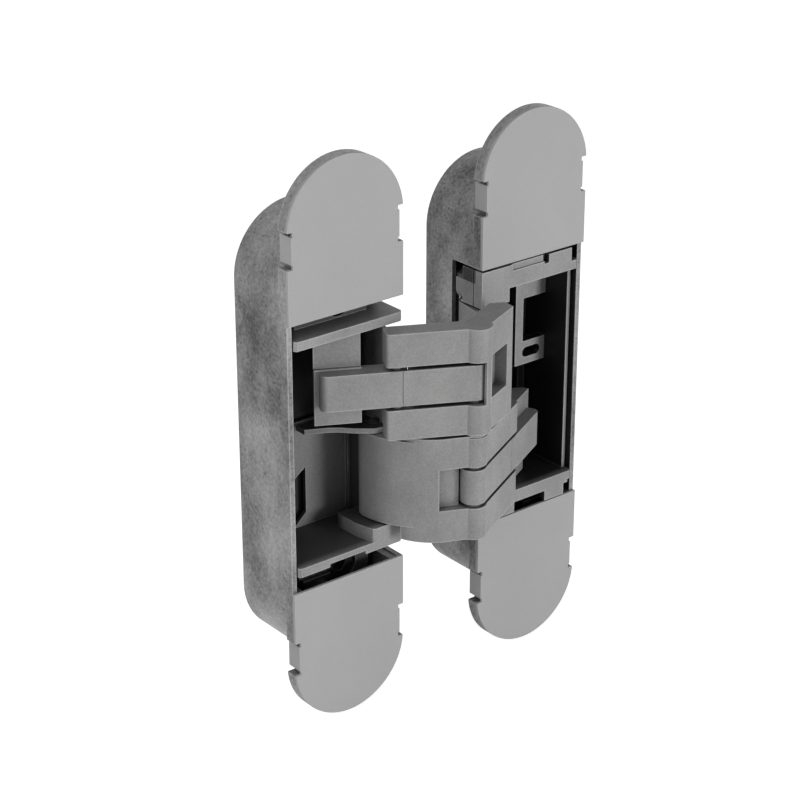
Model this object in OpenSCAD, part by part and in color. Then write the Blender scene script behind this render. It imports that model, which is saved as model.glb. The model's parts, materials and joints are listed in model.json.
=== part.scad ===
// Concealed door hinge, drawn fully open.
// The frame half is centred on x = 0 and the door half lies to its right.
// The backs of the flanges lie on y = 0, +y runs into the door frame, and z is up.
// The door half's housing, its arm and its link are the frame half's ones turned half a
// turn about the line x = mid_x, z = 0.

/* [Housing] */
// Width of each half
half_w = 30; // [28:0.5:36]
// Height of the flange
flange_h = 130; // [120:1:150]
// Thickness of the flange
flange_t = 2.5; // [2:0.1:4]
// Height of the cast body behind the flange
body_h = 102.5; // [98:0.5:110]
// Depth from the flange front to the back of the body
body_d = 18.4; // [18.2:0.1:24]
// Thickness of the body's floor
floor_t = 0.9; // [0.6:0.1:0.9]
// Thickness of the side walls beside the arms
side_t = 1.2; // [0.8:0.1:1.4]
// Thickness of the side walls behind the cover caps
end_side_t = 3; // [2:0.1:3.4]
// Depth of the gap in the wall that faces the other half
side_gap_d = 8.6; // [8:0.1:12]
// Distance between the two halves when the hinge is open
halves_gap = 22; // [20:0.5:30]

/* [Screw holes] */
// Distance from a fixing hole's centre to the flange's end
hole_end = 7; // [6:0.5:8]
// Radius of the fixing holes
hole_r = 2.25; // [1.5:0.05:2.6]
// Radius of the countersinks
sink_r = 4.4; // [3:0.1:5]

/* [Cover caps] */
// Thickness of the cover caps
cap_t = 0.8; // [0.5:0.1:1.2]
// Height of the open window between the two caps
window_h = 62; // [60:0.5:66]
// Height of the bottom of the side clips above the middle
clip_z = 44.2; // [40:0.2:46]
// Height of the side clips
clip_h = 6; // [4:0.2:7]
// How far the clips reach back from the front of the cap
clip_d = 4; // [3:0.1:6]
// How far the clips stand in from the sides
clip_inset = 1; // [0.6:0.1:1.4]
// Height of the relief slits beside the clips
slit_h = 1; // [0.6:0.1:1.4]
// Depth of the relief slits
slit_d = 1.9; // [1.9:0.1:2.4]

/* [Carriers] */
// Thickness of the carriers' end plates
plate_t = 2.1; // [1.6:0.1:2.6]
// Clearance between an arm and the end plate beside it
plate_gap = 0.2; // [0.1:0.05:0.4]
// Thickness of the carriers' back wall and side walls
web_t = 0.9; // [0.6:0.1:0.9]
// Thickness of the shelf in the middle
shelf_t = 1.2; // [0.8:0.1:1.2]
// Thickness of the ears that the clamp screws hold
ear_t = 2; // [1.5:0.1:3]
// Depth of the ears' front faces
ear_y = 5; // [4.4:0.1:7]
// How far the ears reach past the end plates
ear_h = 12.7; // [12:0.1:13]

/* [Arms] */
// Height of an arm's top above the middle
arm_h = 25; // [24:0.1:25]
// Clearance between stacked moving pieces
stack_gap = 0.15; // [0.1:0.05:0.3]
// Thickness of the arm's forked limb
limb_t = 4.8; // [4.4:0.1:5]
// Thickness of the arm's solid limb
right_limb_t = 5.4; // [5:0.1:5.8]
// Slope of the forked limb's front face
limb_angle = 27.6; // [26:0.1:29]
// Slope of the solid limb's front face
right_angle = 23.8; // [22:0.1:25]
// Height of the upper prong
upper_prong_h = 7.6; // [7:0.1:8]
// Height of the lower prong
lower_prong_h = 6.95; // [6:0.05:7]
// Clearance between the middle lever and each prong
prong_gap = 0.85; // [0.6:0.05:1]
// Reach of the sliding link past its pin
link_reach = 16.6; // [14:0.1:17]
// Thickness of the link's guide block
block_t = 4.4; // [3:0.1:4.8]
// Length of the link's guide block
block_l = 10.2; // [8:0.1:10.6]

/* [Pins] */
// Radius of the centre pin that both arms turn on
center_pin_r = 2; // [1.6:0.05:2.2]
// Radius of the hub pins in the carriers
hub_pin_r = 1.5; // [1.2:0.05:1.7]
// Radius of the fork pins
fork_pin_r = 1.2; // [0.9:0.05:1.3]
// Radial clearance of the turning pins
pin_play = 0.05; // [0.02:0.01:0.08]

/* [Adjusters] */
// Radius of the clamp screws' heads
clamp_head_r = 3.3; // [2.8:0.1:3.5]
// Radius of the clamp screws' shanks
clamp_shank_r = 1.8; // [1.4:0.1:2]
// Radius of the round adjuster in each ear
adjuster_r = 3.9; // [3.2:0.1:4]
// Distance from an end plate to the axis of the adjuster behind the cap
adjuster_up = 4.3; // [4.3:0.1:4.6]
// Distance from an end plate to the axis of the clamp screw
clamp_up = 7.9; // [7.4:0.1:8.2]
// Travel of the height adjustment, each way
height_travel = 1.5; // [0.5:0.1:1.6]
// Travel of the depth adjustment, each way
depth_travel = 0.8; // [0.2:0.1:0.9]

/* [Hidden] */
$fn = 96;
eps = 0.01;

half_r = half_w / 2;
hole_pitch = flange_h - 2 * hole_end;
mid_x = (half_w + halves_gap) / 2;
cast_grey = [0.55, 0.55, 0.56];
satin_grey = [0.66, 0.66, 0.67];
steel_grey = [0.72, 0.72, 0.74];
black_steel = [0.25, 0.25, 0.26];

// Housing
floor_y = body_d - floor_t;
pocket_hw = half_r - side_t;
end_pocket_r = half_r - end_side_t;
clip_side_x = half_r - clip_inset;

// Hub and centre axes in plan
hub_x = 11.8;
hub_y = 5.8;
hub_r = 3.2;
center_y = -11.4;
bulge_r = 3.3;
bulge_shift = 0.8;

// Forked limb: its own x runs along the front face from its left end, and its y goes back
limb_x = 7.2;
limb_y = -4.8;
fork_pin_x = 2.6;
fork_pin_y = limb_t / 2;
fork_eye_r = fork_pin_y - 0.1;
fork_play = 0.3;
limb_len = (mid_x - limb_x) * cos(limb_angle) + (limb_y - center_y) * sin(limb_angle);
lever_t = 3;
lever_eye_r = 2.95;
eye_play = 0.35;
right_front = 2.97;
thrust_r = 2.8;
right_len = 12.7;
knuckle_r = 3.05;
recess_l = 10;
rounded_recess_l = 8.3;
recess_d = 3;

// Rounded front of the lower arm's solid limb: an arc about a point of the limb's own axes
corner_x = 6.7;
corner_y = 10.1;
corner_r = 12.45;

// Heights of the stacked pieces
upper_prong_z = arm_h - upper_prong_h;
lower_prong_z = 0.55;
lower_prong_top = lower_prong_z + lower_prong_h;
lever_z = lower_prong_top + prong_gap;
lever_h = upper_prong_z - prong_gap - lever_z;
hub_top = arm_h - 3.4;
hub_bottom = 1.1;

// Carriers
shelf_top = 0.3;
plate_in = arm_h + plate_gap;
plate_out = plate_in + plate_t;
wall_back_y = floor_y - 1.1;
wall_y = wall_back_y - web_t;
carrier_x = pocket_hw - 0.3;
plate_front_y = -cap_t;
hub_boss_z = hub_top + 0.45;
end_gap = 0.5;
bridge_d = 3.7;
bridge_h = window_h / 2 - plate_in - end_gap;
bridge_left = -11.4;
rear_y = 8.9;
window_left = -10.6;
window_right = 8.6;
shelf_left = -2.7;
ear_hw = 9.5;
adjuster_x = 2;
adjuster_z = plate_out + adjuster_up;
clamp_x = -5.6;
clamp_z = plate_out + clamp_up;
clamp_plate_t = 1.2;
clamp_plate_w = 7.4;
clamp_head_h = 2;
clamp_end = 13.5;
post_r = 3;
slide_play = 0.1;
cam_pin_r = 1.1;
cam_play = 0.35;
cam_block_y = 11.5;
cam_block_hw = 4.4;
cam_block_hh = 2.6;
stem_r = 1.4;
stem_end = 15;
socket_r = 1.75;

// Moves a piece that is drawn from the flange fronts, so that y = 0 comes to the flange backs
module seated() {
    translate([0, -flange_t, 0])
        children();
}

// Turns a piece of the frame half into the same piece of the door half
module other_half() {
    translate([2 * mid_x, 0, 0])
        rotate([0, 180, 0])
            children();
}

// Draws the children on the upper side and their mirror image on the lower side
module both_ends() {
    children();
    mirror([0, 0, 1])
        children();
}

// Extrudes an outline in x and z along y, from y0 to y1
module along_y(y0, y1) {
    translate([0, y1, 0])
        rotate([90, 0, 0])
            linear_extrude(y1 - y0)
                children();
}

// Extrudes a plan outline from z0 up to z1
module levels(z0, z1) {
    translate([0, 0, z0])
        linear_extrude(z1 - z0)
            children();
}

// A round bar along y
module bar_y(x, z, r, y0, y1) {
    translate([x, y1, z])
        rotate([90, 0, 0])
            cylinder(r = r, h = y1 - y0);
}

module stadium(r, h) {
    square([2 * r, h - 2 * r], center = true);
    for (s = [-1, 1])
        translate([0, s * (h / 2 - r)])
            circle(r);
}

// Cast cup of a half: flange, body, pocket and the gap that lets the arms out
module shell(gap_d) {
    difference() {
        union() {
            along_y(0, flange_t)
                stadium(half_r, flange_h);
            along_y(flange_t - eps, body_d)
                stadium(half_r, body_h);
        }
        // Pocket for the arms, and the narrower pocket behind the caps
        along_y(-1, floor_y)
            square([2 * pocket_hw, window_h + 0.6], center = true);
        along_y(-1, floor_y)
            stadium(end_pocket_r, body_h - 2 * end_side_t);
        // Gap in the wall that faces the other half
        translate([0, -1, -window_h / 2])
            cube([half_w, gap_d + 1, window_h]);
        // Countersunk fixing holes
        for (s = [-1, 1]) {
            bar_y(0, s * hole_pitch / 2, hole_r, -1, flange_t + 1);
            translate([0, flange_t - 0.4, s * hole_pitch / 2])
                rotate([90, 0, 0])
                    cylinder(r1 = hole_r, r2 = sink_r, h = flange_t - 0.4 + eps);
        }
        // Notches for the clips of the caps
        for (sx = [-1, 1])
            for (sz = [-1, 1])
                translate([sx * (half_r - slit_d / 2), 0, sz * (clip_z + clip_h / 2)])
                    cube([slit_d + eps, 4 * flange_t, clip_h + 2 * slit_h], center = true);
    }
}

// Post for a clamp screw, standing on the floor of the pocket
module clamp_post(play) {
    post_top = ear_y + ear_t + play;
    difference() {
        bar_y(clamp_x, clamp_z, post_r, post_top, floor_y + eps);
        bar_y(clamp_x, clamp_z, clamp_shank_r, post_top - 1, clamp_end + 0.5);
    }
}

// Block with the crosswise groove that the height adjuster's cam pin runs in
module cam_block() {
    groove_h = 2 * (cam_pin_r + cam_play);
    groove_l = 2 * (height_travel + cam_pin_r + cam_play);
    difference() {
        translate([adjuster_x - cam_block_hw, cam_block_y, adjuster_z - cam_block_hh])
            cube([2 * cam_block_hw, floor_y - cam_block_y + eps, 2 * cam_block_hh]);
        translate([adjuster_x - groove_l / 2, cam_block_y - 1, adjuster_z - groove_h / 2])
            cube([groove_l, 4, groove_h]);
    }
}

// Post that holds the stem of a depth screw
module stem_post() {
    difference() {
        bar_y(adjuster_x, adjuster_z, post_r, cam_block_y, floor_y + eps);
        bar_y(adjuster_x, adjuster_z, stem_r + pin_play, cam_block_y - 1, stem_end + 0.2);
    }
}

module frame_housing() {
    seated() color(cast_grey) {
        shell(side_gap_d);
        both_ends() {
            clamp_post(slide_play);
            cam_block();
        }
    }
}

module door_housing() {
    seated() color(cast_grey)
        other_half() {
            shell(side_gap_d + depth_travel);
            both_ends() {
                clamp_post(depth_travel + slide_play);
                stem_post();
            }
        }
}

module cap() {
    seated() color(satin_grey) {
        difference() {
            along_y(-cap_t, 0)
                intersection() {
                    stadium(half_r, flange_h);
                    translate([-half_r, window_h / 2])
                        square([half_w, flange_h / 2]);
                }
            for (s = [-1, 1]) {
                translate([s * (half_r + clip_side_x) / 2, 0, clip_z + clip_h / 2])
                    cube([clip_inset, 4, clip_h + slit_h], center = true);
                for (z = [clip_z - slit_h / 2, clip_z + clip_h + slit_h / 2])
                    translate([s * (half_r - 0.7), 0, z])
                        cube([1.4, 4, slit_h], center = true);
            }
        }
        // Clips bent back over the flange
        for (s = [-1, 1])
            translate([s * (clip_side_x - cap_t / 2), clip_d / 2 - cap_t, clip_z + clip_h / 2])
                cube([cap_t, clip_d, clip_h], center = true);
    }
}

// Ear of a carrier behind a cap, with the adjuster's hole and a slot for the clamp screw
module ear() {
    slot_r = clamp_shank_r + 0.3;
    difference() {
        translate([-ear_hw, ear_y, plate_out - eps])
            cube([2 * ear_hw, ear_t, ear_h]);
        bar_y(adjuster_x, adjuster_z, adjuster_r + slide_play, ear_y - 1, ear_y + ear_t + 1);
        translate([clamp_x, 0, clamp_z])
            along_y(ear_y - 1, ear_y + ear_t + 1)
                stadium(slot_r, 2 * (slot_r + height_travel));
    }
}

module side_walls() {
    hub_clear_y = hub_y + hub_r + 0.7;
    translate([-carrier_x, 1.6, -plate_out])
        cube([web_t, wall_back_y - 1.6, 2 * plate_out]);
    translate([carrier_x - web_t, hub_clear_y, -plate_out])
        cube([web_t, wall_back_y - hub_clear_y, 2 * plate_out]);
    // Beside the fork the wall reaches further forward
    translate([carrier_x - web_t, 3.4, shelf_top - eps])
        cube([web_t, wall_back_y - 3.4, plate_out - shelf_top]);
}

module back_wall() {
    difference() {
        translate([-carrier_x, wall_y, -plate_out])
            cube([2 * carrier_x, web_t, 2 * plate_out]);
        // Window that the fork dips into when the hinge closes
        translate([window_left, wall_y - 1, shelf_top])
            cube([window_right - window_left, web_t + 2, plate_in - shelf_top]);
        // Slant-ended window behind the arm
        along_y(wall_y - 1, wall_back_y + 1)
            polygon([[0.4, -11], [0.4, -22.1], [-2.8, -25], [-9, -25], [-9, -17.8]]);
    }
}

module shelf() {
    levels(shelf_top - shelf_t, shelf_top)
        difference() {
            polygon([
                [shelf_left, wall_back_y], [shelf_left, 11.3], [1.8, 9.2], [4, 7.6],
                [6.2, 5.2], [9.6, 2.4], [12, 1.8],
                [carrier_x, 3], [carrier_x, wall_back_y]
            ]);
            translate([shelf_left - 1, wall_y - 1])
                square([window_right - shelf_left + 1, 4]);
        }
}

// Boss on the lower end plate under the arm's hub, rounded off towards the other half
module hub_boss() {
    lug_r = 2.6;
    back = side_gap_d - 0.6;
    intersection() {
        levels(-plate_in - eps, -hub_boss_z)
            polygon([
                [5.4, 10.5], [5.6, 4], [6.3, 0.9], [6.8, -0.4], [7.6, plate_front_y],
                [half_r - 0.8, plate_front_y], [half_r, plate_front_y + 0.8],
                [half_r, back], [carrier_x, back], [carrier_x, 10.5]
            ]);
        along_y(plate_front_y - 1, 11)
            polygon(concat(
                [[3, -plate_in - 1], [half_r + 1, -plate_in - 1], [half_r + 1, -hub_boss_z - lug_r]],
                [for (a = [0:10:90])
                    [half_r - lug_r + lug_r * cos(a), -hub_boss_z - lug_r + lug_r * sin(a)]],
                [[3, -hub_boss_z]]
            ));
    }
}

module hub_hole() {
    translate([hub_x, hub_y, -plate_out - 1])
        cylinder(r = hub_pin_r, h = plate_out + shelf_top + 2);
}

module end_plate(z0) {
    levels(z0, z0 + plate_t)
        polygon([
            [-carrier_x, plate_front_y + 0.6], [-carrier_x + 0.6, plate_front_y],
            [half_r - 0.8, plate_front_y], [half_r, plate_front_y + 0.8],
            [half_r, side_gap_d - 0.6], [carrier_x, side_gap_d - 0.6],
            [carrier_x, wall_back_y], [-carrier_x, wall_back_y]
        ]);
}

module carrier_base() {
    end_plate(plate_in);
    end_plate(-plate_out);
    both_ends() ear();
    side_walls();
    back_wall();
    shelf();
    hub_boss();
}

module frame_carrier() {
    seated() color(satin_grey)
        difference() {
            carrier_base();
            hub_hole();
            // The lower plate's front edge is thinner in the middle
            translate([-5.3, plate_front_y - 1, -plate_out - 0.2])
                cube([9.8, 3, 1]);
        }
}

// The door carrier, drawn in the frame half's place: its deep bridge is at the lower end here
// and comes to the top when the half is turned over
module door_carrier_raw() {
    cheek_x = 7;
    cheek_back_y = 5.8;
    difference() {
        union() {
            carrier_base();
            // Deep bridge under the cap, and its cheek beside the wall gap
            translate([bridge_left, plate_front_y, -plate_in - bridge_h])
                cube([half_r - bridge_left, bridge_d, bridge_h]);
            translate([cheek_x, plate_front_y, -plate_in - bridge_h])
                cube([half_r - cheek_x, cheek_back_y - plate_front_y, plate_in + bridge_h - hub_boss_z]);
            // Plate below the bridge, set back
            translate([-carrier_x + 0.4, rear_y, -plate_in - eps])
                cube([9.4, 2, 8.6]);
            // Rib with the slotted foot
            translate([-6, rear_y, -plate_in + 4])
                cube([2.3, wall_back_y - rear_y, plate_in - 4.3]);
            translate([-carrier_x + 0.4, rear_y, -6])
                cube([9.4, 2.4, 5.7]);
            // Lip between the other end plate and the cap
            translate([-carrier_x + 1.2, plate_front_y, plate_out - eps])
                cube([half_r + carrier_x - 2, 1.2, window_h / 2 - plate_out - 0.25]);
        }
        hub_hole();
        // Shallow pocket, notch and parting groove in the bridge
        translate([-3.4, plate_front_y - 1, -plate_in - bridge_h - 1])
            cube([9.6, 1.5, 2.4]);
        translate([-4.6, plate_front_y - 1, -plate_in - bridge_h - 1])
            cube([1.4, 2.6, 3]);
        translate([half_r - 0.3, 2, -plate_in - bridge_h - 1])
            cube([1, 0.3, bridge_h + 5]);
        // Slot of the foot
        translate([-8.6, 0, -3.2])
            rotate([0, 90, 0])
                along_y(rear_y - 1, rear_y + 3)
                    stadium(1.2, 5.4);
        // Openings of the lip
        translate([-5.2, plate_front_y - 1, plate_out + 0.9])
            cube([9.4, 3, 4]);
        translate([-carrier_x, plate_front_y - 1, plate_out + 0.7])
            cube([2.4, 3, 4]);
    }
}

module door_carrier() {
    seated() color(satin_grey)
        other_half()
            door_carrier_raw();
}

module hub_pin() {
    seated() color(steel_grey)
        translate([hub_x, hub_y, -plate_out])
            cylinder(r = hub_pin_r, h = plate_out + shelf_top);
}

module hub_washer() {
    seated() color(steel_grey)
        translate([hub_x, hub_y, -hub_boss_z])
            difference() {
                cylinder(r = hub_r - 0.3, h = hub_boss_z - hub_top - stack_gap);
                translate([0, 0, -1])
                    cylinder(r = hub_pin_r + pin_play, h = 3);
            }
}

// Places the children in the forked limb's own plan axes
module on_limb() {
    translate([limb_x, limb_y, 0])
        rotate(-limb_angle)
            children();
}

module on_right_limb() {
    translate([mid_x, center_y])
        rotate(right_angle)
            children();
}

module limb_outline() {
    on_limb() {
        translate([0.8, 0])
            square([limb_len - 0.8, limb_t]);
        translate([0, 0.8])
            square([limb_len, limb_t - 1.6]);
        for (y = [0.8, limb_t - 0.8])
            translate([0.8, y])
                circle(0.8);
    }
}

module bulge_outline() {
    translate([mid_x, center_y - bulge_shift])
        circle(bulge_r);
}

// Solid limb with a sharp outer corner, or with a rounded one
module right_limb_outline(rounded) {
    back_y = right_limb_t - right_front;
    sharp = [[0, -right_front], [right_len, -right_front], [right_len + 1.5, -0.3]];
    round_front = [
        for (a = [-96:3:-42])
            [corner_x + corner_r * cos(a), corner_y + corner_r * sin(a)]
    ];
    on_right_limb()
        polygon(concat(
            rounded ? concat([[0, -2.45]], round_front) : sharp,
            [[right_len - 0.7, back_y], [-1.6, back_y], [-2.6, 0]]
        ));
}

// Part of the arm that reaches back to the hub in the other half's carrier
module hub_outline(rounded) {
    hx = 2 * mid_x - hub_x;
    sharp = [[hx - 1.7, center_y + 2.6], [hx - 0.9, center_y + 5.6], [hx + 2.4, hub_y - 5.8]];
    round_side = [
        [hx - 3.1, center_y + 3.6], [hx - 1.4, center_y + 5.4], [hx, center_y + 7.3],
        [hx + 1.1, center_y + 9], [hx + 1.95, center_y + 10.8], [hx + 2.55, center_y + 12.6],
        [hx + 2.95, center_y + 14.4]
    ];
    translate([hx, hub_y])
        circle(hub_r);
    polygon(concat(
        [[hx + hub_r, hub_y], [hx - hub_r, hub_y], [hx - 5.2, center_y + 6.4]],
        [[hx - 7, center_y + 4]],
        rounded ? round_side : sharp
    ));
}

module arm_body(rounded) {
    hx = 2 * mid_x - hub_x;
    difference() {
        union() {
            levels(lower_prong_z, arm_h) {
                limb_outline();
                if (rounded)
                    translate([mid_x, center_y])
                        circle(knuckle_r);
                else
                    bulge_outline();
            }
            levels(stack_gap, arm_h)
                right_limb_outline(rounded);
            levels(stack_gap, lower_prong_z + 1)
                translate([mid_x, center_y])
                    circle(thrust_r);
            levels(hub_bottom, hub_top)
                hub_outline(rounded);
        }
        // Space of the middle lever between the prongs, in front of the web
        levels(lower_prong_top, upper_prong_z) {
            on_limb() {
                translate([fork_pin_x + 4, -1])
                    square([limb_len - fork_pin_x - 4, lever_t + 1]);
                translate([-1, -1])
                    square([fork_pin_x + 5.01, limb_t + 2]);
            }
            translate([mid_x, center_y])
                circle(lever_eye_r + eye_play);
            translate([mid_x - 7, center_y - 6])
                square([7, 3.2]);
            on_right_limb()
                translate([0, -right_front - 1])
                    square([rounded ? rounded_recess_l : recess_l, recess_d + 1]);
        }
        translate([mid_x, center_y, -1])
            cylinder(r = center_pin_r, h = arm_h + 2);
        translate([hx, hub_y, -1])
            cylinder(r = hub_pin_r + pin_play, h = arm_h + 2);
        // Blind hole of the fork pin
        on_limb()
            translate([fork_pin_x, fork_pin_y, 0])
                cylinder(r = fork_pin_r, h = arm_h - 1.2);
    }
}

module arm_upper() {
    seated() color(satin_grey)
        arm_body(false);
}

// The lower arm turns on the centre pin, so its bore is wider than the pin
module arm_lower() {
    seated() color(satin_grey)
        difference() {
            other_half()
                arm_body(true);
            translate([mid_x, center_y, -arm_h - 1])
                cylinder(r = center_pin_r + pin_play, h = arm_h + 2);
        }
}

module lever_body(bore) {
    levels(lever_z, lever_z + lever_h)
        difference() {
            union() {
                translate([mid_x, center_y])
                    circle(lever_eye_r);
                on_limb()
                    translate([fork_pin_x, 0])
                        square([limb_len - fork_pin_x, lever_t]);
            }
            translate([mid_x, center_y])
                circle(bore);
            on_limb()
                translate([fork_pin_x, fork_pin_y])
                    circle(fork_eye_r + fork_play);
        }
}

module lever_upper() {
    seated() color(satin_grey)
        lever_body(center_pin_r);
}

module lever_lower() {
    seated() color(satin_grey)
        other_half()
            lever_body(center_pin_r + pin_play);
}

// Guide block of a link in plan, with its far corner cut so that it clears the carrier's wall
module block_outline(front) {
    back = lever_t + 1.2 + block_t;
    block_x = fork_pin_x - link_reach - 1;
    on_limb()
        polygon([
            [block_x, front], [block_x + block_l, front], [block_x + block_l, back],
            [block_x + 2.2, back], [block_x, 4.5]
        ]);
}

// Link that turns on the fork pin, with the guide block behind its front bar
module link_body() {
    lever_top = lever_z + lever_h;
    block_z = 4;
    difference() {
        union() {
            levels(lever_z, lever_z + lever_h)
                on_limb() {
                    translate([fork_pin_x, fork_pin_y])
                        circle(fork_eye_r);
                    translate([fork_pin_x - link_reach + 1.6, 0])
                        square([link_reach - 0.7, 1.2]);
                    translate([fork_pin_x - link_reach + 1.6, 0])
                        square([link_reach - 1.6, limb_t - 0.1]);
                    translate([fork_pin_x - link_reach, 1.6])
                        square([1.7, limb_t - 3.3]);
                    for (y = [1.6, limb_t - 1.7])
                        translate([fork_pin_x - link_reach + 1.6, y])
                            circle(1.6);
                }
            // Guide block, stepped back above the bar
            levels(block_z, lever_top + 0.3)
                block_outline(lever_t + 0.2);
            levels(lever_top + 0.2, arm_h - 0.4)
                block_outline(lever_t + 1.2);
        }
        on_limb()
            translate([fork_pin_x, fork_pin_y, -1])
                cylinder(r = fork_pin_r + pin_play, h = arm_h + 2);
    }
}

module link_upper() {
    seated() color(satin_grey)
        link_body();
}

module link_lower() {
    seated() color(satin_grey)
        other_half()
            link_body();
}

module fork_pin() {
    seated() color(steel_grey)
        on_limb()
            translate([fork_pin_x, fork_pin_y, lower_prong_z])
                cylinder(r = fork_pin_r, h = arm_h - 1.4 - lower_prong_z);
}

module center_pin() {
    seated() color(steel_grey)
        translate([mid_x, center_y, -arm_h])
            cylinder(r = center_pin_r, h = 2 * arm_h);
}

// Thin washer between the two arms, around the centre pin
module center_washer() {
    seated() color(steel_grey)
        translate([mid_x, center_y, -0.1])
            difference() {
                cylinder(r = thrust_r, h = 0.2);
                translate([0, 0, -1])
                    cylinder(r = center_pin_r + pin_play, h = 3);
            }
}

module socket(x, z, y) {
    translate([x, y, z])
        rotate([90, 0, 0])
            cylinder(r = socket_r, h = 5, $fn = 6);
}

// Round height adjuster in the carrier's ear, with a hexagon socket and an offset cam pin
module height_adjuster() {
    difference() {
        union() {
            bar_y(adjuster_x, adjuster_z, adjuster_r, ear_y + 0.8, cam_block_y - 0.4);
            bar_y(adjuster_x + height_travel, adjuster_z, cam_pin_r, cam_block_y - 0.5,
                cam_block_y + 2.6);
        }
        socket(adjuster_x, adjuster_z, ear_y + 3.2);
    }
}

// Depth screw in the door carrier's ear, with its stem held in a post of the housing
module depth_screw() {
    difference() {
        union() {
            bar_y(adjuster_x, adjuster_z, adjuster_r, ear_y - 0.4, cam_block_y - 0.1);
            bar_y(adjuster_x, adjuster_z, stem_r, cam_block_y - 0.2, stem_end);
        }
        socket(adjuster_x, adjuster_z, ear_y + 1.8);
    }
}

// Socket-head screw that clamps an ear, with its head standing clear by play
module clamp_screw(play) {
    head_y = ear_y - clamp_plate_t - play;
    difference() {
        union() {
            bar_y(clamp_x, clamp_z, clamp_head_r, head_y - clamp_head_h, head_y);
            bar_y(clamp_x, clamp_z, clamp_shank_r, head_y - eps, clamp_end);
        }
        socket(clamp_x, clamp_z, head_y - 0.7);
    }
}

module clamp_plate(play) {
    difference() {
        translate([
            clamp_x - clamp_plate_w / 2, ear_y - clamp_plate_t - play, clamp_z - clamp_plate_w / 2
        ])
            cube([clamp_plate_w, clamp_plate_t, clamp_plate_w]);
        bar_y(clamp_x, clamp_z, clamp_shank_r + 0.1, ear_y - 4, ear_y + 1);
    }
}

module frame_cap_upper() {
    cap();
}

module frame_cap_lower() {
    mirror([0, 0, 1])
        cap();
}

module door_cap_upper() {
    translate([2 * mid_x, 0, 0])
        cap();
}

module door_cap_lower() {
    translate([2 * mid_x, 0, 0])
        mirror([0, 0, 1])
            cap();
}

module frame_adjuster_upper() {
    seated() color(black_steel)
        height_adjuster();
}

module frame_adjuster_lower() {
    seated() color(black_steel)
        mirror([0, 0, 1])
            height_adjuster();
}

module frame_clamp_plates() {
    seated() color(steel_grey)
        both_ends()
            clamp_plate(slide_play);
}

module frame_clamp_screws() {
    seated() color(black_steel)
        both_ends()
            clamp_screw(slide_play);
}

module fork_pin_upper() {
    fork_pin();
}

module fork_pin_lower() {
    other_half()
        fork_pin();
}

module frame_hub_pin() {
    hub_pin();
}

module frame_hub_washer() {
    hub_washer();
}

module door_hub_pin() {
    other_half()
        hub_pin();
}

module door_hub_washer() {
    other_half()
        hub_washer();
}

module door_depth_screw_upper() {
    seated() color(black_steel)
        other_half()
            mirror([0, 0, 1])
                depth_screw();
}

module door_depth_screw_lower() {
    seated() color(black_steel)
        other_half()
            depth_screw();
}

module door_clamp_plates() {
    seated() color(steel_grey)
        other_half()
            both_ends()
                clamp_plate(depth_travel + slide_play);
}

module door_clamp_screws() {
    seated() color(black_steel)
        other_half()
            both_ends()
                clamp_screw(depth_travel + slide_play);
}

frame_housing();
frame_cap_upper();
frame_cap_lower();
frame_carrier();
frame_hub_pin();
frame_adjuster_upper();
frame_adjuster_lower();
frame_clamp_plates();
frame_clamp_screws();
arm_upper();
lever_upper();
link_upper();
fork_pin_upper();
arm_lower();
lever_lower();
link_lower();
fork_pin_lower();
center_pin();
center_washer();
frame_hub_washer();
door_hub_washer();
door_housing();
door_cap_upper();
door_cap_lower();
door_carrier();
door_hub_pin();
door_depth_screw_upper();
door_depth_screw_lower();
door_clamp_plates();
door_clamp_screws();
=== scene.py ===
# Concealed door hinge, fully open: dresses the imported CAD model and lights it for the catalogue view.
import json
import math

import bmesh
import bpy
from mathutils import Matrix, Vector


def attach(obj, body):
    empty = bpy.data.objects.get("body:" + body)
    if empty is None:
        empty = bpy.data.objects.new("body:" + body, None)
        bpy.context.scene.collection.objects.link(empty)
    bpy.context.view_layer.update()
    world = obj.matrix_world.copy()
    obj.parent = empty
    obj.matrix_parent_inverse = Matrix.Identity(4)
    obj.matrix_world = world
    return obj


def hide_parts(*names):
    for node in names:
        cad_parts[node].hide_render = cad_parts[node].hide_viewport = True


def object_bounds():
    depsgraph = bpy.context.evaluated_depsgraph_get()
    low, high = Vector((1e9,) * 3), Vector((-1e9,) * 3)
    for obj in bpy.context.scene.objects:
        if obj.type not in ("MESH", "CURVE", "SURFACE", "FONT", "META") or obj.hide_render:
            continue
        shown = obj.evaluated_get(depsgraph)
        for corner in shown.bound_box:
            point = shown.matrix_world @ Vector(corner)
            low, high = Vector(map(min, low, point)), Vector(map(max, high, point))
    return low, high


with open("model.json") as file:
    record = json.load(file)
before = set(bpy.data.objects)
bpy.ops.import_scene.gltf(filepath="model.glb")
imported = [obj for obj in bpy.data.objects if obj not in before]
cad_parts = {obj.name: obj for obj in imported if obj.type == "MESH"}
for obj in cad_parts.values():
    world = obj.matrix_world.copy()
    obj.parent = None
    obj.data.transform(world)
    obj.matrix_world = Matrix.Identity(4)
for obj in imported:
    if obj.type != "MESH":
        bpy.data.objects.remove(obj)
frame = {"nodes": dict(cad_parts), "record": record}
cadLow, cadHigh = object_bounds()
mm = 0.001
print("stage: frame loaded,", len(frame["nodes"]), "nodes")


def newSocket(group, name, side):
    group.interface.new_socket(name=name, in_out=side, socket_type="NodeSocketFloat")


def mathNode(tree, operation, first, second=None, clamp=False):
    node = tree.nodes.new("ShaderNodeMath")
    node.operation = operation
    node.use_clamp = clamp
    for index, value in enumerate((first, second)):
        if value is None:
            continue
        if isinstance(value, (int, float)):
            node.inputs[index].default_value = value
        else:
            tree.links.new(value, node.inputs[index])
    return node.outputs[0]


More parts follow.
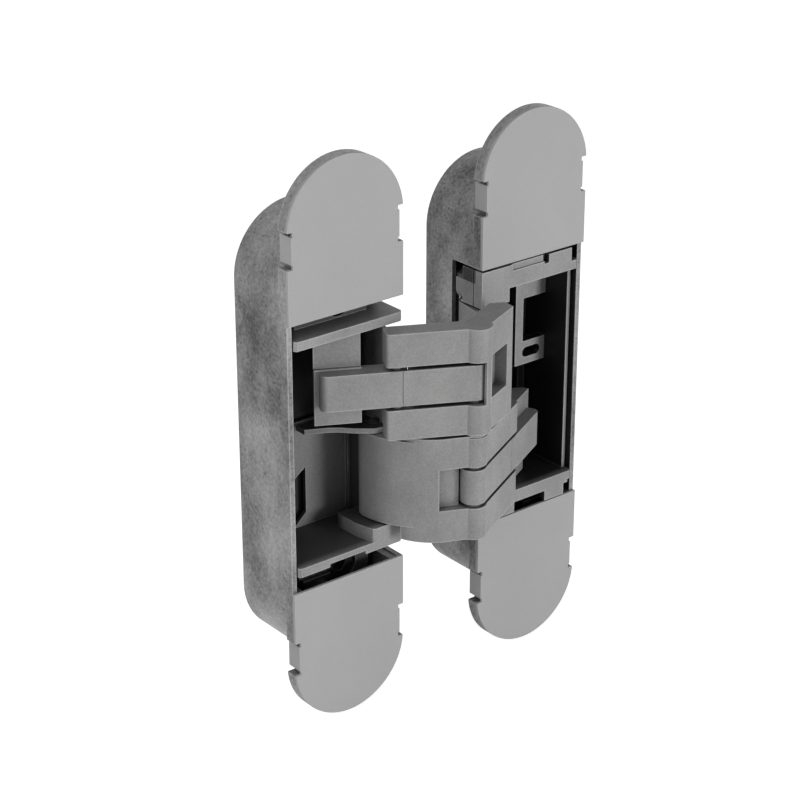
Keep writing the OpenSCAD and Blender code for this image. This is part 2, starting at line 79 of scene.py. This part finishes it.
def remap(tree, value, fromLow, fromHigh, toLow, toHigh):
    node = tree.nodes.new("ShaderNodeMapRange")
    tree.links.new(value, node.inputs["Value"])
    limits = (("From Min", fromLow), ("From Max", fromHigh), ("To Min", toLow), ("To Max", toHigh))
    for name, number in limits:
        if isinstance(number, (int, float)):
            node.inputs[name].default_value = number
        else:
            tree.links.new(number, node.inputs[name])
    return node.outputs["Result"]


# The sockets of the colour mode are picked by number, because the other modes share their names
mixSockets = {"factor": 0, "first": 6, "second": 7, "result": 2}


def mixColor(tree, factor, first, second):
    node = tree.nodes.new("ShaderNodeMix")
    node.data_type = "RGBA"
    tree.links.new(factor, node.inputs[mixSockets["factor"]])
    for name, value in (("first", first), ("second", second)):
        socket = node.inputs[mixSockets[name]]
        if isinstance(value, tuple):
            socket.default_value = (*value, 1.0)
        else:
            tree.links.new(value, socket)
    return node.outputs[mixSockets["result"]]


edgeHighlightLook = {"samples": 6, "fullLean": 0.16}


# Painted highlight on rounded edges: how far the rounded normal leans away from the true one
def makeEdgeHighlightGroup():
    group = bpy.data.node_groups.new("paintedEdgeHighlight", "ShaderNodeTree")
    newSocket(group, "Radius", "INPUT")
    newSocket(group, "Mask", "OUTPUT")
    inside = group.nodes.new("NodeGroupInput")
    outside = group.nodes.new("NodeGroupOutput")
    bevel = group.nodes.new("ShaderNodeBevel")
    bevel.samples = edgeHighlightLook["samples"]
    group.links.new(inside.outputs["Radius"], bevel.inputs["Radius"])
    geometry = group.nodes.new("ShaderNodeNewGeometry")
    dot = group.nodes.new("ShaderNodeVectorMath")
    dot.operation = "DOT_PRODUCT"
    group.links.new(bevel.outputs["Normal"], dot.inputs[0])
    group.links.new(geometry.outputs["Normal"], dot.inputs[1])
    lean = mathNode(group, "SUBTRACT", 1.0, dot.outputs["Value"], clamp=True)
    edgeHighlight = remap(group, lean, 0.0, edgeHighlightLook["fullLean"], 0.0, 1.0)
    group.links.new(edgeHighlight, outside.inputs["Mask"])
    return group


# The clouds are drawn out along Z, and a pit is full up to the first distance and ends at the second
grainLook = {"speckleDetail": 2.0, "cloudDetail": 5.0, "cloudRoughness": 0.62,
             "cloudStretch": (1.0, 1.0, 0.6), "pit": (0.05, 0.22)}


# Fine speckle, soft clouds and small pits of a cast surface, all in object coordinates
def makeCastGroup():
    group = bpy.data.node_groups.new("castGrain", "ShaderNodeTree")
    for name in ("Speckle Scale", "Cloud Scale", "Pit Scale"):
        newSocket(group, name, "INPUT")
    for name in ("Speckle", "Clouds", "Pits"):
        newSocket(group, name, "OUTPUT")
    inside = group.nodes.new("NodeGroupInput")
    outside = group.nodes.new("NodeGroupOutput")
    place = group.nodes.new("ShaderNodeTexCoord").outputs["Object"]
    speckle = group.nodes.new("ShaderNodeTexNoise")
    speckle.inputs["Detail"].default_value = grainLook["speckleDetail"]
    group.links.new(place, speckle.inputs["Vector"])
    group.links.new(inside.outputs["Speckle Scale"], speckle.inputs["Scale"])
    clouds = group.nodes.new("ShaderNodeTexNoise")
    clouds.inputs["Detail"].default_value = grainLook["cloudDetail"]
    clouds.inputs["Roughness"].default_value = grainLook["cloudRoughness"]
    drawn = group.nodes.new("ShaderNodeVectorMath")
    drawn.operation = "MULTIPLY"
    drawn.inputs[1].default_value = grainLook["cloudStretch"]
    group.links.new(place, drawn.inputs[0])
    group.links.new(drawn.outputs["Vector"], clouds.inputs["Vector"])
    group.links.new(inside.outputs["Cloud Scale"], clouds.inputs["Scale"])
    pits = group.nodes.new("ShaderNodeTexVoronoi")
    group.links.new(place, pits.inputs["Vector"])
    group.links.new(inside.outputs["Pit Scale"], pits.inputs["Scale"])
    group.links.new(speckle.outputs["Fac"], outside.inputs["Speckle"])
    group.links.new(clouds.outputs["Fac"], outside.inputs["Clouds"])
    pitted = remap(group, pits.outputs["Distance"], *grainLook["pit"], 1.0, 0.0)
    group.links.new(pitted, outside.inputs["Pits"])
    return group


# Painted shade: none down to the first openness, and the full shade colour from the second one down
creviceShadeLook = {"samples": 6, "openness": (0.62, 0.2), "color": (0.015, 0.015, 0.015)}


# Painted shade in narrow gaps and inner corners, darker where less of the surroundings is open
def makeCreviceShadeGroup():
    group = bpy.data.node_groups.new("paintedCreviceShade", "ShaderNodeTree")
    newSocket(group, "Reach", "INPUT")
    newSocket(group, "Mask", "OUTPUT")
    inside = group.nodes.new("NodeGroupInput")
    outside = group.nodes.new("NodeGroupOutput")
    corner = group.nodes.new("ShaderNodeAmbientOcclusion")
    corner.samples = creviceShadeLook["samples"]
    group.links.new(inside.outputs["Reach"], corner.inputs["Distance"])
    shadedCrevice = remap(group, corner.outputs["AO"], *creviceShadeLook["openness"], 0.0, 1.0)
    group.links.new(shadedCrevice, outside.inputs["Mask"])
    return group


pocketRanges = ("Front", "Floor", "Wall")
pocketLimits = ("Centre", "Half Width", "Last", "Floor Top", "Cap Height", "Reach")
# Behind this depth a surface beyond the cap height counts as covered and takes the full painted shade, in
# metres
coveredDepth = -0.001


# Painted shade inside a pocket: how far a surface lies inside it, with its own depth range for fronts,
# floors and walls
def makePocketGroup():
    group = bpy.data.node_groups.new("pocketShade", "ShaderNodeTree")
    for name in pocketRanges:
        newSocket(group, name + " Start", "INPUT")
        newSocket(group, name + " End", "INPUT")
    for name in pocketLimits:
        newSocket(group, name, "INPUT")
    newSocket(group, "Mask", "OUTPUT")
    inside = group.nodes.new("NodeGroupInput")
    outside = group.nodes.new("NodeGroupOutput")
    place = group.nodes.new("ShaderNodeTexCoord")
    point = group.nodes.new("ShaderNodeSeparateXYZ")
    group.links.new(place.outputs["Object"], point.inputs[0])
    lean = group.nodes.new("ShaderNodeSeparateXYZ")
    group.links.new(place.outputs["Normal"], lean.inputs[0])
    depth = point.outputs["Y"]
    front, ground, wall = (
        remap(group, depth, inside.outputs[name + " Start"], inside.outputs[name + " End"], 0.0, 1.0)
        for name in pocketRanges)
    ground = mathNode(group, "MULTIPLY", ground, mathNode(group, "ABSOLUTE", lean.outputs["Z"]))
    low = mathNode(group, "LESS_THAN", point.outputs["Z"], inside.outputs["Floor Top"])
    ground = mathNode(group, "MULTIPLY", ground, low)
    wall = mathNode(group, "MULTIPLY", wall, mathNode(group, "ABSOLUTE", lean.outputs["X"]))
    deep = mathNode(group, "MAXIMUM", front, mathNode(group, "MAXIMUM", ground, wall))
    offset = mathNode(group, "SUBTRACT", point.outputs["X"], inside.outputs["Centre"])
    offset = mathNode(group, "ABSOLUTE", offset)
    within = mathNode(group, "LESS_THAN", offset, inside.outputs["Half Width"])
    before = mathNode(group, "LESS_THAN", depth, inside.outputs["Last"])
    deep = mathNode(group, "MULTIPLY", deep, mathNode(group, "MULTIPLY", within, before))
    height = mathNode(group, "ABSOLUTE", point.outputs["Z"])
    reached = mathNode(group, "LESS_THAN", height, inside.outputs["Reach"])
    deep = mathNode(group, "MULTIPLY", deep, reached)
    covered = mathNode(group, "GREATER_THAN", height, inside.outputs["Cap Height"])
    behind = mathNode(group, "GREATER_THAN", depth, coveredDepth)
    covered = mathNode(group, "MULTIPLY", covered, behind)
    group.links.new(mathNode(group, "MAXIMUM", deep, covered, clamp=True), outside.inputs["Mask"])
    return group


# One away from a pin's axis and nought close to it, so that the edges round the pin get no painted
# highlight
def makeQuietGroup():
    group = bpy.data.node_groups.new("quietPin", "ShaderNodeTree")
    for name in ("Axis X", "Axis Y", "Reach"):
        newSocket(group, name, "INPUT")
    newSocket(group, "Mask", "OUTPUT")
    inside = group.nodes.new("NodeGroupInput")
    outside = group.nodes.new("NodeGroupOutput")
    point = group.nodes.new("ShaderNodeSeparateXYZ")
    group.links.new(group.nodes.new("ShaderNodeTexCoord").outputs["Object"], point.inputs[0])
    squares = []
    for axis in "XY":
        offset = mathNode(group, "SUBTRACT", point.outputs[axis], inside.outputs["Axis " + axis])
        squares.append(mathNode(group, "MULTIPLY", offset, offset))
    away = mathNode(group, "SQRT", mathNode(group, "ADD", *squares))
    clear = mathNode(group, "GREATER_THAN", away, inside.outputs["Reach"])
    group.links.new(clear, outside.inputs["Mask"])
    return group


paintedEdgeHighlight = makeEdgeHighlightGroup()
castGrain = makeCastGroup()
paintedCreviceShade = makeCreviceShadeGroup()
pocketShade = makePocketGroup()
quietPin = makeQuietGroup()

# Each finish's "edge" colour is the painted highlight along its rounded edges
finishes = {
    "castZinc": {
        "dark": (0.062, 0.062, 0.064), "light": (0.3, 0.3, 0.305), "edge": (0.5, 0.5, 0.5),
        "metallic": 0.5, "specular": 0.5, "roughness": 0.5, "bump": 0.35,
        "speckleScale": 1500.0, "cloudScale": 62.0, "pitScale": 650.0,
        "speckle": 0.24, "pits": 0.45, "contrast": (0.3, 0.7),
        "highlightRadius": 0.0005, "highlightGain": 0.5, "creviceShade": 0.85, "creviceShadeReach": 0.0012,
    },
    "satinCover": {
        "dark": (0.37, 0.37, 0.37), "light": (0.405, 0.405, 0.403), "edge": (0.55, 0.55, 0.55),
        "metallic": 0.0, "specular": 0.2, "roughness": 0.7, "bump": 0.08,
        "speckleScale": 3200.0, "cloudScale": 30.0, "pitScale": 900.0,
        "speckle": 0.3, "pits": 0.0, "contrast": (0.25, 0.75),
        "highlightRadius": 0.0003, "highlightGain": 0.4, "creviceShade": 0.9, "creviceShadeReach": 0.0012,
    },
    "satinCasting": {
        "dark": (0.19, 0.19, 0.19), "light": (0.285, 0.285, 0.283), "edge": (0.58, 0.58, 0.58),
        "metallic": 0.15, "specular": 0.35, "roughness": 0.5, "bump": 0.2,
        "speckleScale": 2400.0, "cloudScale": 80.0, "pitScale": 700.0,
        "speckle": 0.35, "pits": 0.12, "contrast": (0.25, 0.75),
        "highlightRadius": 0.0005, "highlightGain": 0.55, "creviceShade": 0.95, "creviceShadeReach": 0.004,
    },
    "steelPin": {
        "dark": (0.36, 0.36, 0.37), "light": (0.5, 0.5, 0.51), "edge": (0.6, 0.6, 0.6),
        "metallic": 0.9, "specular": 0.5, "roughness": 0.35, "bump": 0.05,
        "speckleScale": 2400.0, "cloudScale": 150.0, "pitScale": 900.0,
        "speckle": 0.2, "pits": 0.0, "contrast": (0.3, 0.7),
        "highlightRadius": 0.0003, "highlightGain": 0.3, "creviceShade": 0.9, "creviceShadeReach": 0.0012,
    },
    # Black finish of the adjuster and depth screws; on the clamp plates and clamp screws it is painted
    # shade for the shadowed slot
    "blackScrewAndPaintedShade": {
        "dark": (0.012, 0.012, 0.013), "light": (0.035, 0.035, 0.037), "edge": (0.12, 0.12, 0.12),
        "metallic": 0.6, "specular": 0.5, "roughness": 0.45, "bump": 0.08,
        "speckleScale": 2400.0, "cloudScale": 150.0, "pitScale": 900.0,
        "speckle": 0.3, "pits": 0.0, "contrast": (0.3, 0.7),
        "highlightRadius": 0.0003, "highlightGain": 0.5, "creviceShade": 0.9, "creviceShadeReach": 0.0012,
    },
}
# Each pocket's painted shade colour, with its depths, widths and heights in metres, where a pair of
# depths runs from bare to fully shaded
pockets = {
    "frameCup": {
        "Front": (0.002, 0.006), "Floor": (-0.001, 0.005), "Wall": (-0.001, 0.005),
        "Centre": 0.0, "Half Width": 0.0139, "Last": 0.0154,
        "Floor Top": 1.0, "Cap Height": 1.0, "Reach": 0.0311, "color": (0.02, 0.02, 0.02),
    },
    "doorCup": {
        "Front": (0.002, 0.006), "Floor": (-0.001, 0.005), "Wall": (-0.0026, -0.0021),
        "Centre": 0.052, "Half Width": 0.0139, "Last": 0.0154,
        "Floor Top": 1.0, "Cap Height": 1.0, "Reach": 0.0311, "color": (0.006, 0.006, 0.006),
    },
    "frameCarrier": {
        "Front": (0.009, 0.021), "Floor": (-0.0034, -0.0008), "Wall": (0.0058, 0.0078),
        "Centre": 0.0, "Half Width": 0.05, "Last": 0.05,
        "Floor Top": 0.026, "Cap Height": 0.0274, "Reach": 1.0, "color": (0.055, 0.055, 0.056),
    },
    "doorCarrier": {
        "Front": (0.0068, 0.008), "Floor": (-0.0036, -0.001), "Wall": (-0.005, -0.0025),
        "Centre": 0.062, "Half Width": 0.0165, "Last": 0.05,
        "Floor Top": 0.022, "Cap Height": 0.0274, "Reach": 1.0, "color": (0.007, 0.007, 0.007),
    },
}
# Each pin's axis in plan, how far from it the edges get no painted highlight, and how far from it an edge
# keeps the small rounding, all in mm
pins = {
    "centre": {"axis": (26.0, -13.9), "plain": 2.4, "smallRounding": 2.4},
    "upperFork": {"axis": (10.616, -6.378), "plain": 2.9, "smallRounding": 2.75},
    "lowerFork": {"axis": (41.384, -6.378), "plain": 2.9, "smallRounding": 2.75},
}
# How the pattern turns into tone, roughness and relief, the same for all the finishes
surfaceLook = {"speckleMiddle": 0.5, "speckleGain": 4.0, "pocketEdges": 0.4, "darkRougher": 0.1,
               "lightSmoother": 0.06, "relief": 0.5, "reliefDepth": 0.0001}


def makeFinish(name, look, pocket=None, pin=None):
    material = bpy.data.materials.new(name)
    material.use_nodes = True
    tree = material.node_tree
    shader = tree.nodes["Principled BSDF"]
    grain = tree.nodes.new("ShaderNodeGroup")
    grain.node_tree = castGrain
    grain.inputs["Speckle Scale"].default_value = look["speckleScale"]
    grain.inputs["Cloud Scale"].default_value = look["cloudScale"]
    grain.inputs["Pit Scale"].default_value = look["pitScale"]
    edges = tree.nodes.new("ShaderNodeGroup")
    edges.node_tree = paintedEdgeHighlight
    edges.inputs["Radius"].default_value = look["highlightRadius"]
    blotches = remap(tree, grain.outputs["Clouds"], *look["contrast"], 0.0, 1.0)
    speckled = mathNode(tree, "SUBTRACT", grain.outputs["Speckle"], surfaceLook["speckleMiddle"])
    speckled = mathNode(tree, "MULTIPLY", speckled, look["speckle"] * surfaceLook["speckleGain"])
    tone = mathNode(tree, "ADD", blotches, speckled, clamp=True)
    pitted = mathNode(tree, "MULTIPLY", grain.outputs["Pits"], look["pits"])
    tone = mathNode(tree, "SUBTRACT", tone, pitted, clamp=True)
    color = mixColor(tree, tone, look["dark"], look["light"])
    # Painted shade: surfaces deep in a pocket take the pocket's dark colour
    if pocket:
        shade = tree.nodes.new("ShaderNodeGroup")
        shade.node_tree = pocketShade
        for kind in pocketRanges:
            shade.inputs[kind + " Start"].default_value = pocket[kind][0]
            shade.inputs[kind + " End"].default_value = pocket[kind][1]
        for kind in pocketLimits:
            shade.inputs[kind].default_value = pocket[kind]
        color = mixColor(tree, shade.outputs["Mask"], color, pocket["color"])
    # Painted shade in gaps and inner corners, from how closed in each point is
    creviceShade = tree.nodes.new("ShaderNodeGroup")
    creviceShade.node_tree = paintedCreviceShade
    creviceShade.inputs["Reach"].default_value = look["creviceShadeReach"]
    shadedCrevice = mathNode(tree, "MULTIPLY", creviceShade.outputs["Mask"], look["creviceShade"], clamp=True)
    edgeHighlight = mathNode(tree, "MULTIPLY", edges.outputs["Mask"], look["highlightGain"], clamp=True)
    if pocket:
        dimmed = remap(tree, shade.outputs["Mask"], 0.0, 1.0, 1.0, surfaceLook["pocketEdges"])
        edgeHighlight = mathNode(tree, "MULTIPLY", edgeHighlight, dimmed)
    if pin:
        quiet = tree.nodes.new("ShaderNodeGroup")
        quiet.node_tree = quietPin
        quiet.inputs["Axis X"].default_value = pin["axis"][0] * mm
        quiet.inputs["Axis Y"].default_value = pin["axis"][1] * mm
        quiet.inputs["Reach"].default_value = pin["plain"] * mm
        edgeHighlight = mathNode(tree, "MULTIPLY", edgeHighlight, quiet.outputs["Mask"])
    # Painted highlight: rounded edges take the lighter edge colour, dimmed inside the painted pocket
    # shade
    color = mixColor(tree, edgeHighlight, color, look["edge"])
    # The painted crevice shade goes over everything else
    color = mixColor(tree, shadedCrevice, color, creviceShadeLook["color"])
    tree.links.new(color, shader.inputs["Base Color"])
    darkRoughness = look["roughness"] + surfaceLook["darkRougher"]
    lightRoughness = look["roughness"] - surfaceLook["lightSmoother"]
    roughness = remap(tree, tone, 0.0, 1.0, darkRoughness, lightRoughness)
    tree.links.new(roughness, shader.inputs["Roughness"])
    shader.inputs["Metallic"].default_value = look["metallic"]
    shader.inputs["Specular IOR Level"].default_value = look["specular"]
    height = mathNode(tree, "MULTIPLY", grain.outputs["Speckle"], surfaceLook["relief"])
    height = mathNode(tree, "SUBTRACT", height, pitted)
    bump = tree.nodes.new("ShaderNodeBump")
    bump.inputs["Strength"].default_value = look["bump"]
    bump.inputs["Distance"].default_value = surfaceLook["reliefDepth"]
    tree.links.new(height, bump.inputs["Height"])
    tree.links.new(bump.outputs["Normal"], shader.inputs["Normal"])
    return material


materials = {name: makeFinish(name, look) for name, look in finishes.items()}
pocketFinishes = {"frameCup": "castZinc", "doorCup": "castZinc", "frameCarrier": "satinCasting",
                  "doorCarrier": "satinCasting"}
for name, finish in pocketFinishes.items():
    materials[name] = makeFinish(name, finishes[finish], pocket=pockets[name])
armPins = {"satinArm": "centre", "satinUpperLink": "upperFork", "satinLowerLink": "lowerFork"}
for name, pin in armPins.items():
    materials[name] = makeFinish(name, finishes["satinCasting"], pin=pins[pin])
print("stage: finishes made")

# For each node: its finish, the rounding of its edges and of the edges near its pins, in mm
castings = {
    "frame_housing": ("frameCup", 0.35, 0.35), "door_housing": ("doorCup", 0.35, 0.35),
    "frame_cap_upper": ("satinCover", 0.12, 0.12), "frame_cap_lower": ("satinCover", 0.12, 0.12),
    "door_cap_upper": ("satinCover", 0.12, 0.12), "door_cap_lower": ("satinCover", 0.12, 0.12),
    "frame_carrier": ("frameCarrier", 0.22, 0.22), "door_carrier": ("doorCarrier", 0.22, 0.22),
    "arm_upper": ("satinArm", 0.5, 0.06), "arm_lower": ("satinArm", 0.5, 0.06),
    "lever_upper": ("satinUpperLink", 0.45, 0.05), "lever_lower": ("satinLowerLink", 0.45, 0.05),
    "link_upper": ("satinUpperLink", 0.4, 0.05), "link_lower": ("satinLowerLink", 0.4, 0.05),
    "frame_hub_pin": ("steelPin", 0.15, 0.15), "door_hub_pin": ("steelPin", 0.15, 0.15),
    "fork_pin_upper": ("steelPin", 0.05, 0.05), "fork_pin_lower": ("steelPin", 0.05, 0.05),
    "center_pin": ("satinArm", 0.05, 0.05), "center_washer": ("steelPin", 0.0, 0.0),
    "frame_hub_washer": ("steelPin", 0.0, 0.0), "door_hub_washer": ("steelPin", 0.0, 0.0),
    # The clamp plates and clamp screws take the black finish as painted shade for the shadowed slot under
    # the caps
    "frame_clamp_plates": ("blackScrewAndPaintedShade", 0.15, 0.15), "door_clamp_plates": ("blackScrewAndPaintedShade", 0.15, 0.15),
    "frame_clamp_screws": ("blackScrewAndPaintedShade", 0.15, 0.15), "door_clamp_screws": ("blackScrewAndPaintedShade", 0.15, 0.15),
    "frame_adjuster_upper": ("blackScrewAndPaintedShade", 0.2, 0.2), "frame_adjuster_lower": ("blackScrewAndPaintedShade", 0.2, 0.2),
    "door_depth_screw_upper": ("blackScrewAndPaintedShade", 0.2, 0.2), "door_depth_screw_lower": ("blackScrewAndPaintedShade", 0.2, 0.2),
}


def bodyOf(node):
    for body, members in frame["record"]["behaviour"]["bodies"].items():
        if node in members:
            return body


def nearPin(edge):
    for pin in pins.values():
        x, y = pin["axis"]
        reach = pin["smallRounding"]
        if all(math.hypot(vert.co.x / mm - x, vert.co.y / mm - y) < reach for vert in edge.verts):
            return True
    return False


# Welding distance in mm and angles in degrees; a weight above 50 lets the larger faces lead the normals
rounding = {"weld": 0.002, "flatAngle": 0.6, "sharpAngle": 28, "segments": 2, "flatWeight": 100}


def dressCasting(node, finish, edgeMm, pinMm):
    mesh = bmesh.new()
    mesh.from_mesh(frame["nodes"][node].data)
    bmesh.ops.remove_doubles(mesh, verts=mesh.verts, dist=rounding["weld"] * mm)
    flatAngle = math.radians(rounding["flatAngle"])
    bmesh.ops.dissolve_limit(mesh, angle_limit=flatAngle, verts=mesh.verts, edges=mesh.edges)
    weights = mesh.edges.layers.float.new("bevel_weight_edge")
    for edge in mesh.edges:
        if edge.calc_face_angle(0.0) > math.radians(rounding["sharpAngle"]):
            edge[weights] = pinMm / edgeMm if edgeMm and nearPin(edge) else 1.0
    data = bpy.data.meshes.new(node + "_cast")
    mesh.to_mesh(data)
    mesh.free()
    piece = bpy.data.objects.new(node + "_cast", data)
    bpy.context.scene.collection.objects.link(piece)
    data.materials.clear()
    data.materials.append(materials[finish])
    for polygon in data.polygons:
        polygon.use_smooth = True
    if edgeMm:
        bevel = piece.modifiers.new("edges", "BEVEL")
        bevel.width = edgeMm * mm
        bevel.segments = rounding["segments"]
        bevel.limit_method = "WEIGHT"
        bevel.use_clamp_overlap = True
        # Keeps the large faces flat beside their rounded edges
        flats = piece.modifiers.new("flats", "WEIGHTED_NORMAL")
        flats.mode = "FACE_AREA"
        flats.weight = rounding["flatWeight"]
    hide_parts(node)
    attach(piece, bodyOf(node))


for node, (finish, edgeMm, pinMm) in castings.items():
    dressCasting(node, finish, edgeMm, pinMm)
print("stage: castings dressed")

# Two fine beads in the corner of the frame carrier's back wall, in mm
cornerBeads = {"left": (11.3, 12.0), "width": 0.17, "depth": (12.85, 13.2), "height": (-25.4, -0.7)}


def makeBeads():
    mesh = bmesh.new()
    front, back = cornerBeads["depth"]
    bottom, top = cornerBeads["height"]
    for left in cornerBeads["left"]:
        made = bmesh.ops.create_cube(mesh, size=1.0)
        low = Vector((left, front, bottom)) * mm
        high = Vector((left + cornerBeads["width"], back, top)) * mm
        bmesh.ops.scale(mesh, vec=high - low, verts=made["verts"])
        bmesh.ops.translate(mesh, vec=(low + high) / 2, verts=made["verts"])
    data = bpy.data.meshes.new("frame_carrier_beads")
    mesh.to_mesh(data)
    mesh.free()
    data.materials.append(materials["satinCasting"])
    beads = bpy.data.objects.new("frame_carrier_beads", data)
    bpy.context.scene.collection.objects.link(beads)
    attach(beads, "frame_slider")


makeBeads()
print("stage: beads made")

white = (1.0, 1.0, 1.0, 1.0)
# Lengths in metres, lamp powers in watts
studio = {
    "floorSize": 3.0, "floorColor": (0.9, 0.9, 0.9), "floorGlow": 0.8, "floorRoughness": 0.9,
    "floorDrop": 0.0002, "ambient": 0.2,
    "key": {"place": (0.32, -0.85, 0.07), "size": 0.24, "power": 4.6},
    "left": {"place": (-0.38, -0.12, 0.2), "size": 0.25, "power": 0.68},
    "top": {"place": (-0.45, 0.1, 0.8), "size": 0.6, "power": 1.5},
}
target = (cadLow + cadHigh) / 2


def makeLamp(name, settings):
    lamp = bpy.data.lights.new(name, "AREA")
    lamp.shape = "SQUARE"
    lamp.size = settings["size"]
    lamp.energy = settings["power"]
    holder = bpy.data.objects.new(name, lamp)
    bpy.context.scene.collection.objects.link(holder)
    holder.location = settings["place"]
    holder.rotation_euler = (target - Vector(settings["place"])).to_track_quat("-Z", "Y").to_euler()


# One for what the camera sees directly, in a reflection or through glass
def seenDirectly(tree):
    path = tree.nodes.new("ShaderNodeLightPath")
    seen = mathNode(tree, "MAXIMUM", path.outputs["Is Camera Ray"], path.outputs["Is Glossy Ray"])
    return mathNode(tree, "MAXIMUM", seen, path.outputs["Is Transmission Ray"])


for name in ("key", "left", "top"):
    makeLamp(name + "Lamp", studio[name])

floorMesh = bmesh.new()
bmesh.ops.create_grid(floorMesh, x_segments=1, y_segments=1, size=studio["floorSize"])
floorLevel = cadLow.z - studio["floorDrop"]
bmesh.ops.translate(floorMesh, verts=floorMesh.verts, vec=(0.0, 0.0, floorLevel))
floorData = bpy.data.meshes.new("studioFloor")
floorMesh.to_mesh(floorData)
floorMesh.free()
floor = bpy.data.objects.new("studioFloor", floorData)
bpy.context.scene.collection.objects.link(floor)
floorMaterial = bpy.data.materials.new("palePaper")
floorMaterial.use_nodes = True
tree = floorMaterial.node_tree
shader = tree.nodes["Principled BSDF"]
shader.inputs["Base Color"].default_value = (*studio["floorColor"], 1.0)
shader.inputs["Roughness"].default_value = studio["floorRoughness"]
shader.inputs["Specular IOR Level"].default_value = 0.0
shader.inputs["Emission Color"].default_value = white
glow = mathNode(tree, "MULTIPLY", seenDirectly(tree), studio["floorGlow"])
tree.links.new(glow, shader.inputs["Emission Strength"])
floorData.materials.append(floorMaterial)

world = bpy.data.worlds.new("studioWorld")
bpy.context.scene.world = world
world.use_nodes = True
tree = world.node_tree
background = tree.nodes["Background"]
background.inputs["Color"].default_value = white
brightness = remap(tree, seenDirectly(tree), 0.0, 1.0, studio["ambient"], 1.0)
tree.links.new(brightness, background.inputs["Strength"])

# The photo's own camera: place and clipping in metres, angles in radians, focal length and image side
# in pixels, sensor in mm
view = {"place": (-0.264236, -0.348836, 0.204006), "yaw": 0.678, "pitch": 0.418, "focal": 2255.61,
        "imageSide": 800.0, "sensor": 36.0, "near": 0.01, "far": 20.0}
lens = bpy.data.cameras.new("catalogueView")
lens.sensor_width = view["sensor"]
lens.lens = view["focal"] / view["imageSide"] * view["sensor"]
lens.clip_start = view["near"]
lens.clip_end = view["far"]
camera = bpy.data.objects.new("catalogueView", lens)
bpy.context.scene.collection.objects.link(camera)
camera.location = view["place"]
level = math.cos(view["pitch"])
forward = Vector((math.sin(view["yaw"]) * level, math.cos(view["yaw"]) * level, -math.sin(view["pitch"])))
camera.rotation_euler = forward.to_track_quat("-Z", "Y").to_euler()
bpy.context.scene.camera = camera
bpy.context.scene.view_settings.view_transform = "Standard"
print("stage: studio set")
